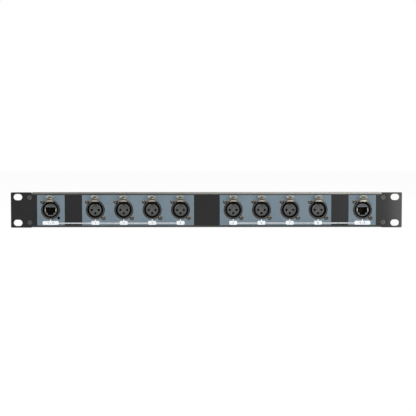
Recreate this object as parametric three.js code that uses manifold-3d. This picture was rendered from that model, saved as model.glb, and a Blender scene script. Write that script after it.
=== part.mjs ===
// A one-unit 19 inch rack panel that splits two round RJ45 inputs into eight female 3-pin XLR outputs.
// Lengths are in millimetres. +X is to the right seen from the front, +Y is to the back and +Z is up.
// The origin is the middle of the panel's rear face, the plane in which its ears meet the rack's rails.
import * as THREE from "three";
import { mergeVertices } from "three/addons/utils/BufferGeometryUtils.js";
import Module from "manifold-3d";

const wasm = await Module();
wasm.setup();

// Clearances
const clearance = 0.3;
const overrun = 1;

// Front panel: one folded steel sheet
const sheet = 2;
const panelWidth = 482.6;
const panelHeight = 43.6;
const panelCorner = 1.2;
const earWidth = 25.3;
const flangeSetback = 0.3;
const flangeDepth = 18;
const bendRadius = 2.6;
const bendRelief = 1;

// Rack slots, measured in from the ends and the long edges
const slotLength = 10.7;
const slotHeight = 7.7;
const slotInset = 8.7;
const slotEdgeInset = 5.925;

// Places of the receptacles: the gaps from the panel's middle to the end of its folded body
// share out the width that the flanges leave free
const outputsPerGroup = 4;
const centreGapShare = 39;
const outputGapShare = 18;
const inputGapShare = 58;
const endGapShare = 21;

// Receptacle housing, the same moulding for both kinds
const ringRadius = 11.4;
const ringProud = 1.2;
const ringBevel = 0.8;
const holeClearance = 0.4;
const plateWidth = 26;
const plateHeight = 30;
const plateThickness = 2.6;
const plateCorner = 3;
const blockWidth = 25;
const housingDepth = 21;
const socketDepth = 14;

// XLR socket
const outputBoreRadius = 9.5;
const outputCoreRadius = 7.7;
const coreRecess = 1;
const coreChamfer = 0.5;
const keyWidth = 3.1;
const keyDepth = 1.5;
const contactCircle = 4.08;
const contactRadius = 1.35;
const contactDepth = 12;
const stemRadius = 6;

// RJ45 jack in its round housing
const inputBoreRadius = 9.35;
const inputCoreRadius = 8;
const portWidth = 11;
const portTop = 2.8;
const portBottom = 3.4;
const notchWidth = 6.7;
const notchHeight = 2.3;
const portDepth = 10.8;
const shieldWidth = 14.4;
const shieldHeight = 4.4;
const shieldThickness = 1.3;
const shieldBack = 0.8;
const pinRowSpacing = 2.54;
const pinPitch = 2.04;
const pinsPerRow = 4;

// Solder tails and breakout boards
const tailRadius = 0.6;
const tailStandOut = 1.5;
const boardThickness = 1.6;
const boardEdgeGap = 2.2;

// Push latch: a rocking lever with a hook inside the socket and an oval thumb plate in front
const leverWidth = 10.4;
const leverLow = 9.7;
const leverHigh = 11.3;
const leverRear = 9.5;
const pivotBehindPanel = 1.6;
const pivotHeight = 9.6;
const pivotRadius = 0.8;
const pivotReach = 1.3;
const latchLift = 1.3;
const hookWidth = 4.4;
const hookLength = 3.5;
const hookDrop = 1.2;
const hookFlat = 0.8;
const neckWidth = 6;
const neckThickness = 1.6;
const thumbStandOut = 6.2;
const thumbWidth = 10.5;
const thumbHeight = 6.3;
const thumbThickness = 1.5;
const thumbCentre = 14.4;
const thumbRim = 0.7;
const thumbDish = 0.6;

// Screws that hold the receptacles
const screwOffset = 9.9;
const screwRadius = 1.45;
const screwLength = 8;
const screwHeadRadius = 2.4;
const screwHeadHeight = 1.7;
const screwHeadEdge = 0.7;

// Countersunk screws that hold the rear cover
const coverScrewInset = 2.2;
const coverScrewEdgeInset = 3.2;
const coverScrewHeadRadius = 2.75;
const coverScrewSink = 0.1;

// Rear cover: a folded steel tray inside the return flanges
const coverSheet = 1.5;
const coverBend = 2;
const coverDepth = 40;
const coverFront = 1.2;
const coverSideInset = 2;
const coverTab = 9.5;
const nutRadius = 3.2;
const nutLength = 3;

// Facets of the round shapes
const ringSides = 20;
const coreSides = 16;
const ovalSides = 14;
const screwSides = 8;
const smallSides = 8;
const hiddenSides = 6;
const pinSides = 4;
const slotSteps = 4;
const bendSteps = 2;
const cornerSteps = 1;

// Faces and edges that several pieces share
const panelFront = -sheet;
const panelHalfHeight = panelHeight / 2;
const bodyHalfWidth = panelWidth / 2 - earWidth;
const bodyHalfHeight = panelHalfHeight - flangeSetback;
const slotX = panelWidth / 2 - slotInset;
const slotZ = panelHalfHeight - slotEdgeInset;
const ringFront = panelFront - ringProud;
const coreFront = ringFront + coreRecess;
const boardRear = housingDepth + boardThickness;
const coverHalfHeight = bodyHalfHeight - sheet - clearance;
const boardHalfHeight = coverHalfHeight - coverSheet - boardEdgeGap;
const tabHalfHeight = bodyHalfHeight - bendRadius - clearance;
const coverScrewX = bodyHalfWidth + coverScrewInset;
const coverScrewZ = tabHalfHeight - coverScrewEdgeInset;
const screwHoleRadius = screwRadius + clearance;
const freeWidth = bodyHalfWidth - (outputsPerGroup + 1) * plateWidth;
const outputGapShares = (outputsPerGroup - 1) * outputGapShare;
const gapUnit = freeWidth / (centreGapShare + outputGapShares + inputGapShare + endGapShare);
const innerOutputOffset = centreGapShare * gapUnit + plateWidth / 2;
const outputPitch = plateWidth + outputGapShare * gapUnit;
const inputX = bodyHalfWidth - endGapShare * gapUnit - plateWidth / 2;
const outputOffsets = Array.from(
  { length: outputsPerGroup },
  (_, i) => innerOutputOffset + i * outputPitch
);
const screwCorners = {
  upper: [-screwOffset, screwOffset],
  lower: [screwOffset, -screwOffset],
};
const contactPlaces = [
  [-contactCircle, 0],
  [contactCircle, 0],
  [0, -contactCircle],
];
const pinPlaces = [-pinRowSpacing / 2, pinRowSpacing / 2].flatMap((z) =>
  Array.from({ length: pinsPerRow }, (_, i) => [(i - (pinsPerRow - 1) / 2) * pinPitch, z])
);

// Solids

function solid(geometry) {
  const bare = geometry.clone();
  bare.deleteAttribute("normal");
  bare.deleteAttribute("uv");
  const merged = mergeVertices(bare);
  const corners = merged.index.array;
  const kept = [];
  for (let i = 0; i < corners.length; i += 3) {
    const [a, b, c] = corners.slice(i, i + 3);
    if (a !== b && b !== c && c !== a) {
      kept.push(a, b, c);
    }
  }
  const vertProperties = new Float32Array(merged.attributes.position.array);
  return new wasm.Manifold(new wasm.Mesh({ numProp: 3, vertProperties, triVerts: new Uint32Array(kept) }));
}

function surface(body) {
  const mesh = body.getMesh();
  const geometry = new THREE.BufferGeometry();
  geometry.setAttribute("position", new THREE.BufferAttribute(mesh.vertProperties, mesh.numProp));
  geometry.setIndex(new THREE.BufferAttribute(mesh.triVerts, 1));
  const faceted = geometry.toNonIndexed();
  faceted.computeVertexNormals();
  return faceted;
}

// An outline in X and Z, carried along Y from its front face to its rear face
function alongY(shape, front, rear, curveSegments = bendSteps) {
  const geometry = new THREE.ExtrudeGeometry(shape, {
    depth: rear - front,
    bevelEnabled: false,
    curveSegments,
  });
  return geometry.rotateX(Math.PI / 2).translate(0, rear, 0);
}

// An outline in Y and Z, carried along X from one side to the other
function alongX(shape, left, right) {
  const geometry = new THREE.ExtrudeGeometry(shape, {
    depth: right - left,
    bevelEnabled: false,
    curveSegments: bendSteps,
  });
  const turn = new THREE.Matrix4().makeBasis(
    new THREE.Vector3(0, 1, 0),
    new THREE.Vector3(0, 0, 1),
    new THREE.Vector3(1, 0, 0)
  );
  return geometry.applyMatrix4(turn).translate(left, 0, 0);
}

// An outline in X and Y, carried along Z and centred on it
function alongZ(shape, height) {
  const geometry = new THREE.ExtrudeGeometry(shape, {
    depth: height,
    bevelEnabled: false,
    curveSegments: bendSteps,
  });
  return geometry.translate(0, 0, -height / 2);
}

function rodY(radius, front, rear, sides, x = 0, z = 0) {
  const rod = new THREE.CylinderGeometry(radius, radius, rear - front, sides);
  return rod.translate(x, (front + rear) / 2, z);
}

function rodX(radius, left, right, sides, y, z) {
  const rod = new THREE.CylinderGeometry(radius, radius, right - left, sides);
  return rod.rotateZ(Math.PI / 2).translate((left + right) / 2, y, z);
}

function block(left, right, front, rear, low, high) {
  const box = new THREE.BoxGeometry(right - left, rear - front, high - low);
  return box.translate((left + right) / 2, (front + rear) / 2, (low + high) / 2);
}

function polygon(points) {
  return new THREE.Shape(points.map(([a, b]) => new THREE.Vector2(a, b)));
}

function roundedRectangle(width, height, radius) {
  const [x, y] = [width / 2, height / 2];
  const shape = new THREE.Shape();
  shape.absarc(x - radius, y - radius, radius, 0, Math.PI / 2);
  shape.absarc(radius - x, y - radius, radius, Math.PI / 2, Math.PI);
  shape.absarc(radius - x, radius - y, radius, Math.PI, 1.5 * Math.PI);
  shape.absarc(x - radius, radius - y, radius, 1.5 * Math.PI, 2 * Math.PI);
  return shape;
}

// A profile of radius and Y that starts and ends on the axis, turned about Y
function turned(profile, sides) {
  return new THREE.LatheGeometry(
    profile.map(([radius, y]) => new THREE.Vector2(radius, y)),
    sides
  );
}

// Front panel

function foldedFlange() {
  const bendStart = bodyHalfHeight - bendRadius;
  const bendEnd = panelFront + bendRadius;
  const flangeRear = panelFront + flangeDepth;
  const section = new THREE.Shape();
  section.moveTo(0, bendStart - sheet);
  section.lineTo(0, bendStart);
  section.absarc(bendEnd, bendStart, bendRadius - sheet, Math.PI, Math.PI / 2, true);
  section.lineTo(flangeRear, bodyHalfHeight - sheet);
  section.lineTo(flangeRear, bodyHalfHeight);
  section.absarc(bendEnd, bendStart, bendRadius, Math.PI / 2, Math.PI, false);
  section.lineTo(panelFront, bendStart - sheet);
  return alongX(section, -bodyHalfWidth, bodyHalfWidth);
}

function slotOutline() {
  const end = slotHeight / 2;
  const reach = slotLength / 2 - end;
  const outline = new THREE.Shape();
  outline.absarc(reach, 0, end, -Math.PI / 2, Math.PI / 2);
  outline.absarc(-reach, 0, end, Math.PI / 2, 1.5 * Math.PI);
  return outline;
}

function countersink(headRadius, holeRadius, rear) {
  return turned(
    [
      [0, panelFront - overrun],
      [headRadius, panelFront - overrun],
      [headRadius, panelFront],
      [holeRadius, panelFront + headRadius - holeRadius],
      [holeRadius, rear],
      [0, rear],
    ],
    screwSides
  );
}

function frontPanelGeometry() {
  const blank = roundedRectangle(panelWidth, panelHeight, panelCorner);
  let panel = solid(alongY(blank, panelFront, 0));
  const bendStart = bodyHalfHeight - bendRadius;
  const cutHalfWidth = bodyHalfWidth + bendRelief;
  const strip = block(
    -cutHalfWidth,
    cutHalfWidth,
    panelFront - overrun,
    overrun,
    bendStart,
    panelHalfHeight + overrun
  );
  for (const turn of [0, Math.PI]) {
    panel = panel.subtract(solid(strip.clone().rotateY(turn)));
    panel = panel.add(solid(foldedFlange().rotateY(turn)));
  }
  const cuts = [];
  for (const side of [-1, 1]) {
    for (const level of [-1, 1]) {
      const slot = alongY(slotOutline(), panelFront - overrun, overrun, slotSteps);
      cuts.push(slot.translate(side * slotX, 0, level * slotZ));
      const seat = countersink(coverScrewHeadRadius + clearance, screwHoleRadius, overrun);
      cuts.push(seat.translate(side * coverScrewX, 0, level * coverScrewZ));
    }
    for (const offset of [...outputOffsets, inputX]) {
      const centre = side * offset;
      const holeRadius = ringRadius + holeClearance;
      cuts.push(rodY(holeRadius, panelFront - overrun, overrun, ringSides, centre));
      for (const [x, z] of Object.values(screwCorners)) {
        cuts.push(rodY(screwHoleRadius, panelFront - overrun, overrun, smallSides, centre + x, z));
      }
    }
  }
  for (const cut of cuts) {
    panel = panel.subtract(solid(cut));
  }
  return surface(panel);
}

// Rear cover

function roundedBack(halfHeight, front, rear, radius) {
  const profile = new THREE.Shape();
  profile.moveTo(front, -halfHeight);
  profile.lineTo(rear - radius, -halfHeight);
  profile.absarc(rear - radius, radius - halfHeight, radius, -Math.PI / 2, 0);
  profile.absarc(rear - radius, halfHeight - radius, radius, 0, Math.PI / 2);
  profile.lineTo(front, halfHeight);
  return profile;
}

function trayForm(halfWidth, halfHeight, front, rear, radius) {
  const upright = alongX(roundedBack(halfHeight, front, rear, radius), -halfWidth, halfWidth);
  const flat = alongZ(roundedBack(halfWidth, front, rear, radius), 2 * halfHeight).rotateZ(Math.PI / 2);
  return solid(upright).intersect(solid(flat));
}

function sideTab(side) {
  const wall = bodyHalfWidth - coverSideInset;
  const inside = coverBend - coverSheet;
  const section = new THREE.Shape();
  section.moveTo(wall - coverSheet, coverBend + coverFront);
  section.lineTo(wall - coverSheet, coverBend);
  section.absarc(wall - coverSheet + coverBend, coverBend, coverBend, Math.PI, 1.5 * Math.PI);
  section.lineTo(wall + coverTab, 0);
  section.lineTo(wall + coverTab, coverSheet);
  section.absarc(wall + inside, coverBend, inside, 1.5 * Math.PI, Math.PI, true);
  section.lineTo(wall, coverBend + coverFront);
  const points = section.getPoints(bendSteps).map((point) => [side * point.x, point.y]);
  return alongZ(polygon(points), 2 * tabHalfHeight);
}

function rearCoverGeometry() {
  const halfWidth = bodyHalfWidth - coverSideInset;
  const outer = trayForm(halfWidth, coverHalfHeight, coverFront, coverDepth, coverBend);
  const inner = trayForm(
    halfWidth - coverSheet,
    coverHalfHeight - coverSheet,
    coverFront - overrun,
    coverDepth - coverSheet,
    coverBend - coverSheet
  );
  let cover = outer.subtract(inner);
  for (const side of [-1, 1]) {
    cover = cover.add(solid(sideTab(side)));
  }
  for (const x of [-coverScrewX, coverScrewX]) {
    for (const z of [-coverScrewZ, coverScrewZ]) {
      cover = cover.add(solid(rodY(nutRadius, coverSheet / 2, coverSheet + nutLength, screwSides, x, z)));
      cover = cover.subtract(solid(rodY(screwHoleRadius, -overrun, coverDepth / 2, smallSides, x, z)));
    }
  }
  return surface(cover);
}

// Receptacle housing

function housingGeometry(boreRadius) {
  const plate = roundedRectangle(plateWidth, plateHeight, plateCorner);
  const halfBlock = blockWidth / 2;
  const ring = turned(
    [
      [0, ringFront],
      [ringRadius - ringBevel, ringFront],
      [ringRadius, ringFront + ringBevel],
      [ringRadius, plateThickness],
      [0, plateThickness],
    ],
    ringSides
  );
  const leverSpace = leverWidth / 2 + clearance;
  const pivotSpace = pivotRadius + clearance;
  const pivotEnd = leverWidth / 2 + pivotReach + clearance;
  const bottomFront = socketDepth - overrun;
  const leverFloor = Math.sqrt(boreRadius ** 2 - leverSpace ** 2) - clearance;
  let housing = solid(alongY(plate, 0, plateThickness, cornerSteps))
    .add(solid(block(-halfBlock, halfBlock, plateThickness / 2, housingDepth, -halfBlock, halfBlock)))
    .add(solid(ring))
    .subtract(solid(rodY(boreRadius, ringFront - overrun, socketDepth, ringSides)))
    .subtract(solid(rodY(stemRadius + clearance, bottomFront, housingDepth + overrun, hiddenSides)))
    .subtract(
      solid(
        block(
          -leverSpace,
          leverSpace,
          ringFront - overrun,
          leverRear + 2 * clearance,
          leverFloor,
          leverHigh + latchLift + clearance
        )
      )
    )
    .subtract(solid(rodX(pivotSpace, -pivotEnd, pivotEnd, hiddenSides, pivotBehindPanel, pivotHeight)));
  for (const [x, z] of Object.values(screwCorners)) {
    const depth = screwLength + clearance;
    housing = housing.subtract(solid(rodY(screwHoleRadius, -overrun, depth, hiddenSides, x, z)));
  }
  return surface(housing);
}

// Cores that stand in the housings

function coreBody(radius) {
  return solid(
    turned(
      [
        [0, coreFront],
        [radius - coreChamfer, coreFront],
        [radius, coreFront + coreChamfer],
        [radius, socketDepth],
        [0, socketDepth],
      ],
      coreSides
    )
  ).add(solid(rodY(stemRadius, socketDepth - overrun, housingDepth, hiddenSides)));
}

function withTails(core, places) {
  const rear = boardRear + tailStandOut;
  let joined = core;
  for (const [x, z] of places) {
    joined = joined.add(solid(rodY(tailRadius, housingDepth - overrun, rear, pinSides, x, z)));
  }
  return joined;
}

function outputInsertGeometry() {
  let insert = withTails(coreBody(outputCoreRadius), contactPlaces);
  const keyFloor = outputCoreRadius - keyDepth;
  const top = outputCoreRadius + overrun;
  const keyRear = socketDepth - overrun;
  const key = block(-keyWidth / 2, keyWidth / 2, coreFront - overrun, keyRear, keyFloor, top);
  insert = insert.subtract(solid(key));
  for (const [x, z] of contactPlaces) {
    const hole = rodY(contactRadius, coreFront - overrun, coreFront + contactDepth, smallSides, x, z);
    insert = insert.subtract(solid(hole));
  }
  return surface(insert);
}

const portRear = coreFront + portDepth;
const shieldMiddle = (portTop - portBottom) / 2;

function inputJackGeometry() {
  const front = coreFront - overrun;
  const pocketHalfWidth = shieldWidth / 2 + clearance;
  const pocketHalfHeight = shieldHeight / 2 + clearance;
  const port = block(-portWidth / 2, portWidth / 2, front, portRear, -portBottom, portTop);
  const notch = block(-notchWidth / 2, notchWidth / 2, front, portRear, -portBottom - notchHeight, 0);
  const pocket = block(
    -pocketHalfWidth,
    pocketHalfWidth,
    front,
    portRear + clearance,
    shieldMiddle - pocketHalfHeight,
    shieldMiddle + pocketHalfHeight
  );
  const jack = withTails(coreBody(inputCoreRadius), pinPlaces)
    .subtract(solid(port))
    .subtract(solid(notch))
    .subtract(solid(pocket));
  return surface(jack);
}

function inputShieldGeometry() {
  const half = shieldWidth / 2;
  const arm = half - shieldThickness;
  const staple = polygon([
    [-half, coreFront],
    [-arm, coreFront],
    [-arm, portRear - shieldBack],
    [arm, portRear - shieldBack],
    [arm, coreFront],
    [half, coreFront],
    [half, portRear],
    [-half, portRear],
  ]);
  return surface(solid(alongZ(staple, shieldHeight).translate(0, 0, shieldMiddle)));
}

// Push latch, with its pivot pins at the origin of its own frame

function leverOutline() {
  const lowAngle = Math.asin(leverWidth / 2 / leverLow);
  const highAngle = Math.asin(leverWidth / 2 / leverHigh);
  const outline = new THREE.Shape();
  outline.absarc(0, 0, leverHigh, Math.PI / 2 - highAngle, Math.PI / 2 + highAngle, false);
  outline.absarc(0, 0, leverLow, Math.PI / 2 + lowAngle, Math.PI / 2 - lowAngle, true);
  return outline;
}

function neckOutline() {
  const plateRear = panelFront - thumbStandOut;
  const foot = leverLow + clearance;
  return polygon([
    [panelFront, foot],
    [panelFront - thumbStandOut / 2, foot],
    [plateRear - thumbThickness / 2, thumbCentre - thumbHeight / 4],
    [plateRear + clearance, thumbCentre],
    [plateRear + neckThickness, thumbCentre - thumbHeight / 4],
    [panelFront - thumbStandOut / 2 + neckThickness / 2, leverHigh - clearance],
    [panelFront, leverHigh - clearance],
  ]);
}

function thumbPlate() {
  const rear = panelFront - thumbStandOut;
  const front = rear - thumbThickness;
  const half = thumbHeight / 2;
  const oval = turned(
    [
      [0, front + thumbDish],
      [half - 2 * thumbRim, front + thumbDish],
      [half - thumbRim, front],
      [half, front + thumbRim],
      [half, rear],
      [0, rear],
    ],
    ovalSides
  );
  return oval.scale(thumbWidth / thumbHeight, 1, 1).translate(0, 0, thumbCentre);
}

function latchGeometry() {
  const half = leverWidth / 2;
  const hookRear = leverRear;
  const hookTip = leverLow - hookDrop;
  const hook = polygon([
    [hookRear - hookLength, leverLow + clearance],
    [hookRear - hookFlat, hookTip],
    [hookRear, hookTip],
    [hookRear, leverLow + clearance],
  ]);
  let latch = solid(alongY(leverOutline(), ringFront, leverRear))
    .add(solid(alongX(hook, -hookWidth / 2, hookWidth / 2)))
    .add(solid(alongX(neckOutline(), -neckWidth / 2, neckWidth / 2)))
    .add(solid(thumbPlate()));
  for (const side of [-1, 1]) {
    const root = side * (half - overrun);
    const end = side * (half + pivotReach);
    const pin = rodX(
      pivotRadius,
      Math.min(root, end),
      Math.max(root, end),
      hiddenSides,
      pivotBehindPanel,
      pivotHeight
    );
    latch = latch.add(solid(pin));
  }
  return surface(latch);
}

// Screws

function panScrewGeometry() {
  return surface(
    solid(
      turned(
        [
          [0, panelFront - screwHeadHeight],
          [screwHeadRadius - screwHeadEdge, panelFront - screwHeadHeight],
          [screwHeadRadius, panelFront],
          [screwRadius, panelFront],
          [screwRadius, screwLength],
          [0, screwLength],
        ],
        screwSides
      )
    )
  );
}

function coverScrewGeometry() {
  const front = panelFront + coverScrewSink;
  return surface(
    solid(
      turned(
        [
          [0, front],
          [coverScrewHeadRadius, front],
          [screwRadius, front + coverScrewHeadRadius - screwRadius],
          [screwRadius, coverSheet + nutLength],
          [0, coverSheet + nutLength],
        ],
        screwSides
      )
    )
  );
}

// Breakout boards

function boardGeometry(side) {
  const inner = innerOutputOffset - plateWidth / 2;
  const outer = inputX + plateWidth / 2;
  const [left, right] = [side * inner, side * outer].sort((a, b) => a - b);
  let board = solid(
    block(left, right, housingDepth, boardRear, -boardHalfHeight, boardHalfHeight)
  );
  const holes = outputOffsets.flatMap((offset) => contactPlaces.map(([x, z]) => [side * offset + x, z]));
  holes.push(...pinPlaces.map(([x, z]) => [side * inputX + x, z]));
  for (const [x, z] of holes) {
    const radius = tailRadius + clearance;
    const hole = rodY(radius, housingDepth - overrun, boardRear + overrun, hiddenSides, x, z);
    board = board.subtract(solid(hole));
  }
  return surface(board);
}

// Materials

function finish(color, roughness, metalness) {
  return new THREE.MeshStandardMaterial({ color, roughness, metalness });
}

const blackPaint = finish(0x262729, 0.55, 0.1);
const coverPaint = finish(0x232426, 0.6, 0.1);
const housingPlastic = finish(0x2a2826, 0.5, 0);
const insertPlastic = finish(0x4a4947, 0.6, 0);
const nickel = finish(0xb3aa9a, 0.35, 0.9);
const springSteel = finish(0xb9b8b0, 0.35, 0.9);
const blackSteel = finish(0x1c1c1d, 0.45, 0.6);
const boardGreen = finish(0x1d4a33, 0.5, 0);

// Assembly

const splitter = new THREE.Group();

function place(parent, name, geometry, material, x = 0, z = 0) {
  const mesh = new THREE.Mesh(geometry, material);
  mesh.name = name;
  mesh.position.set(x, 0, z);
  parent.add(mesh);
}

place(splitter, "front_panel", frontPanelGeometry(), blackPaint);
place(splitter, "rear_cover", rearCoverGeometry(), coverPaint);

const coverScrew = coverScrewGeometry();
for (const [sideName, side] of [["left", -1], ["right", 1]]) {
  place(splitter, `breakout_board_${sideName}`, boardGeometry(side), boardGreen);
  for (const [levelName, level] of [["upper", 1], ["lower", -1]]) {
    const name = `cover_screw_${sideName}_${levelName}`;
    place(splitter, name, coverScrew, blackSteel, side * coverScrewX, level * coverScrewZ);
  }
}

const latch = latchGeometry();
const panScrew = panScrewGeometry();

function receptacle(name, centre, screwNames) {
  const group = new THREE.Group();
  group.position.x = centre;
  splitter.add(group);
  place(group, `${name}_latch`, latch, nickel);
  for (const corner of screwNames) {
    place(group, `${name}_screw_${corner}`, panScrew, nickel, ...screwCorners[corner]);
  }
  return group;
}

const outputHousing = housingGeometry(outputBoreRadius);
const outputInsert = outputInsertGeometry();
const outputCentres = [...outputOffsets.map((offset) => -offset).reverse(), ...outputOffsets];
outputCentres.forEach((centre, i) => {
  const name = `output_${i + 1}`;
  const group = receptacle(name, centre, ["upper", "lower"]);
  place(group, `${name}_housing`, outputHousing, housingPlastic);
  place(group, `${name}_insert`, outputInsert, insertPlastic);
});

const inputHousing = housingGeometry(inputBoreRadius);
const inputJack = inputJackGeometry();
const inputShield = inputShieldGeometry();
const inputScrews = { left: ["upper"], right: ["upper", "lower"] };
for (const [sideName, side] of [["left", -1], ["right", 1]]) {
  const name = `input_${sideName}`;
  const group = receptacle(name, side * inputX, inputScrews[sideName]);
  place(group, `${name}_housing`, inputHousing, housingPlastic);
  place(group, `${name}_jack`, inputJack, insertPlastic);
  place(group, `${name}_shield`, inputShield, springSteel);
}

export default splitter;
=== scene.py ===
import math

import bmesh
import bpy
from mathutils import Matrix, Vector


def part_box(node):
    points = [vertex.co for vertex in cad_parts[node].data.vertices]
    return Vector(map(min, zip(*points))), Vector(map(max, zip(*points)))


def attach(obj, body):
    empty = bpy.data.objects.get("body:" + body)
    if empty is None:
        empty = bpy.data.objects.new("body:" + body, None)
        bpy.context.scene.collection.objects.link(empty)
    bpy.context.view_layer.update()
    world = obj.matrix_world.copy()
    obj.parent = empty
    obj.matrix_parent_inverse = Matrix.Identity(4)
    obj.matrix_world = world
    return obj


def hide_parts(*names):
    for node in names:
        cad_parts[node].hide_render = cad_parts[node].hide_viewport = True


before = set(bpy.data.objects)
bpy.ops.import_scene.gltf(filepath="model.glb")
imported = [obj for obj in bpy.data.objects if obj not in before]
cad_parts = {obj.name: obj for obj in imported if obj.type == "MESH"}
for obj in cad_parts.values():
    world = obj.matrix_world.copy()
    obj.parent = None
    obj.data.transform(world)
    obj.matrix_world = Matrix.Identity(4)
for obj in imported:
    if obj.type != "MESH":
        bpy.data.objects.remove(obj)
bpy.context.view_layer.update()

# The front panel is one steel sheet, laser cut and folded back along its top and bottom edges.
# Its ears stay flat for the rack's rails. The finish is a satin black powder coat with a fine
# orange peel, baked on after the folding.
MM = 0.001
overcut = 1
panel_low, panel_high = (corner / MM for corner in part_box("front_panel"))
sheet = -panel_low.y
panel_front = panel_low.y
panel_corner, panel_edge = 1.2, 0.2
ear_width, ear_rise = 25.3, 0.3
body_half_width = panel_high.x - ear_width
body_half_height = panel_high.z - ear_rise
bend_radius, bend_relief = 2.6, 0.15
bend_start = body_half_height - bend_radius
cut_end = body_half_width + bend_relief
slot_length, slot_height = 10.7, 7.7
slot_inset, slot_drop = 8.7, 5.925
slot_x, slot_z = panel_high.x - slot_inset, panel_high.z - slot_drop
receptacle_hole = 11.6
screw_hole, screw_offset = 1.75, 9.9
screw_corners = {"upper": (-screw_offset, screw_offset), "lower": (screw_offset, -screw_offset)}
cover_screw_head, seat_play = 2.75, 0.15
sides = {"left": -1, "right": 1}
quarters = [(side, level) for side in (-1, 1) for level in (-1, 1)]


def middle(node):
    """The middle of a CAD node's box, in millimetres."""
    low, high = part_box(node)
    return (low + high) / 2 / MM


outputs = [f"output_{number}" for number in range(1, 9)]
inputs = ["input_left", "input_right"]
receptacles = outputs + inputs
centres = {name: middle(name + "_housing").x for name in receptacles}
cover_screw = middle("cover_screw_right_upper")


def arc(a, b, radius, start, end, steps=12):
    """Points of an arc between two angles in degrees."""
    turns = [math.radians(start + (end - start) * i / steps) for i in range(steps + 1)]
    return [(a + radius * math.cos(turn), b + radius * math.sin(turn)) for turn in turns]


def circle(a, b, radius, steps=64):
    return arc(a, b, radius, 0, 360, steps)[:-1]


def both_halves(points):
    """Half of an outline and its mirror image."""
    return points + [(-a, b) for a, b in reversed(points)]


def all_round(quarter):
    """A quarter of an outline and its three mirror images."""
    half = both_halves(quarter)
    return half + [(-a, -b) for a, b in half]


def new_piece(name, data):
    piece = bpy.data.objects.new(name, data)
    bpy.context.scene.collection.objects.link(piece)
    return piece


def opened(mesh):
    """A mesh as a shape that can be worked on."""
    shape = bmesh.new()
    shape.from_mesh(mesh)
    return shape


def put_back(shape, mesh):
    shape.to_mesh(mesh)
    shape.free()


def from_bmesh(name, shape):
    """A piece from a closed shape drawn in millimetres."""
    bmesh.ops.recalc_face_normals(shape, faces=shape.faces)
    bmesh.ops.scale(shape, vec=(MM, MM, MM), verts=shape.verts)
    mesh = bpy.data.meshes.new(name)
    put_back(shape, mesh)
    return new_piece(name, mesh)


def weld(shape):
    """Joins the corners that lie together and turns every face outward."""
    bmesh.ops.remove_doubles(shape, verts=shape.verts, dist=0.001 * MM)
    bmesh.ops.recalc_face_normals(shape, faces=shape.faces)


def finished_mesh(piece):
    """The mesh that a drawing or a piece with modifiers comes to."""
    graph = bpy.context.evaluated_depsgraph_get()
    return bpy.data.meshes.new_from_object(piece.evaluated_get(graph))


def stood_up(name, drawing, x, y, z):
    """A flat drawing with a thickness, turned upright into the panel's plane as a closed piece."""
    sketch = new_piece(name + "_sketch", drawing)
    mesh = finished_mesh(sketch)
    bpy.data.objects.remove(sketch)
    bpy.data.curves.remove(drawing)
    upright = Matrix.Rotation(math.pi / 2, 4, "X")
    mesh.transform(Matrix.Translation((x * MM, y * MM, z * MM)) @ upright)
    shape = opened(mesh)
    weld(shape)
    put_back(shape, mesh)
    mesh.name = name
    return new_piece(name, mesh)


def cut_sheet(name, outlines, front, rear):
    """A sheet in the panel's plane. The first outline is its edge and the others are its holes."""
    drawing = bpy.data.curves.new(name, "CURVE")
    drawing.dimensions = "2D"
    drawing.fill_mode = "BOTH"
    drawing.extrude = (rear - front) / 2 * MM
    for outline in outlines:
        spline = drawing.splines.new("POLY")
        spline.points.add(len(outline) - 1)
        for point, (x, z) in zip(spline.points, outline):
            point.co = (x * MM, z * MM, 0, 1)
        spline.use_cyclic_u = True
    return stood_up(name, drawing, 0, (front + rear) / 2, 0)


def turned(name, profile, steps=64, x=0.0, z=0.0):
    """A profile of radius and Y, from the axis back to the axis, turned about a line along Y."""
    shape = bmesh.new()
    rings = []
    for radius, y in profile:
        points = circle(x, z, radius, steps) if radius else [(x, z)]
        rings.append([shape.verts.new((a, y, b)) for a, b in points])
    for ring, following in zip(rings, rings[1:]):
        for i in range(steps):
            near = [ring[i % len(ring)], ring[(i + 1) % steps % len(ring)]]
            far = [following[(i + 1) % steps % len(following)], following[i % len(following)]]
            corners = list(dict.fromkeys(near + far))
            if len(corners) > 2:
                shape.faces.new(corners)
    return from_bmesh(name, shape)


def settle(piece):
    """Turns the piece's modifiers into its mesh."""
    mesh = finished_mesh(piece)
    piece.modifiers.clear()
    piece.data = mesh


def close_slivers(piece, reach=0.002):
    """Fills the faces without width that a cut through a long flat sheet leaves open."""
    shape = opened(piece.data)
    bmesh.ops.remove_doubles(shape, verts=shape.verts, dist=reach * MM)
    bmesh.ops.holes_fill(shape, edges=[edge for edge in shape.edges if edge.is_boundary])
    bmesh.ops.dissolve_degenerate(shape, edges=shape.edges, dist=reach * MM)
    put_back(shape, piece.data)


def machine(piece, tools, operation="DIFFERENCE"):
    """Cuts closed tools out of a piece, or fuses them to it."""
    for tool in tools:
        step = piece.modifiers.new("Machining", "BOOLEAN")
        step.operation = operation
        step.solver = "EXACT"
        step.object = tool
    settle(piece)
    for tool in tools:
        bpy.data.objects.remove(tool)
    close_slivers(piece)
    return piece


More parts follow.
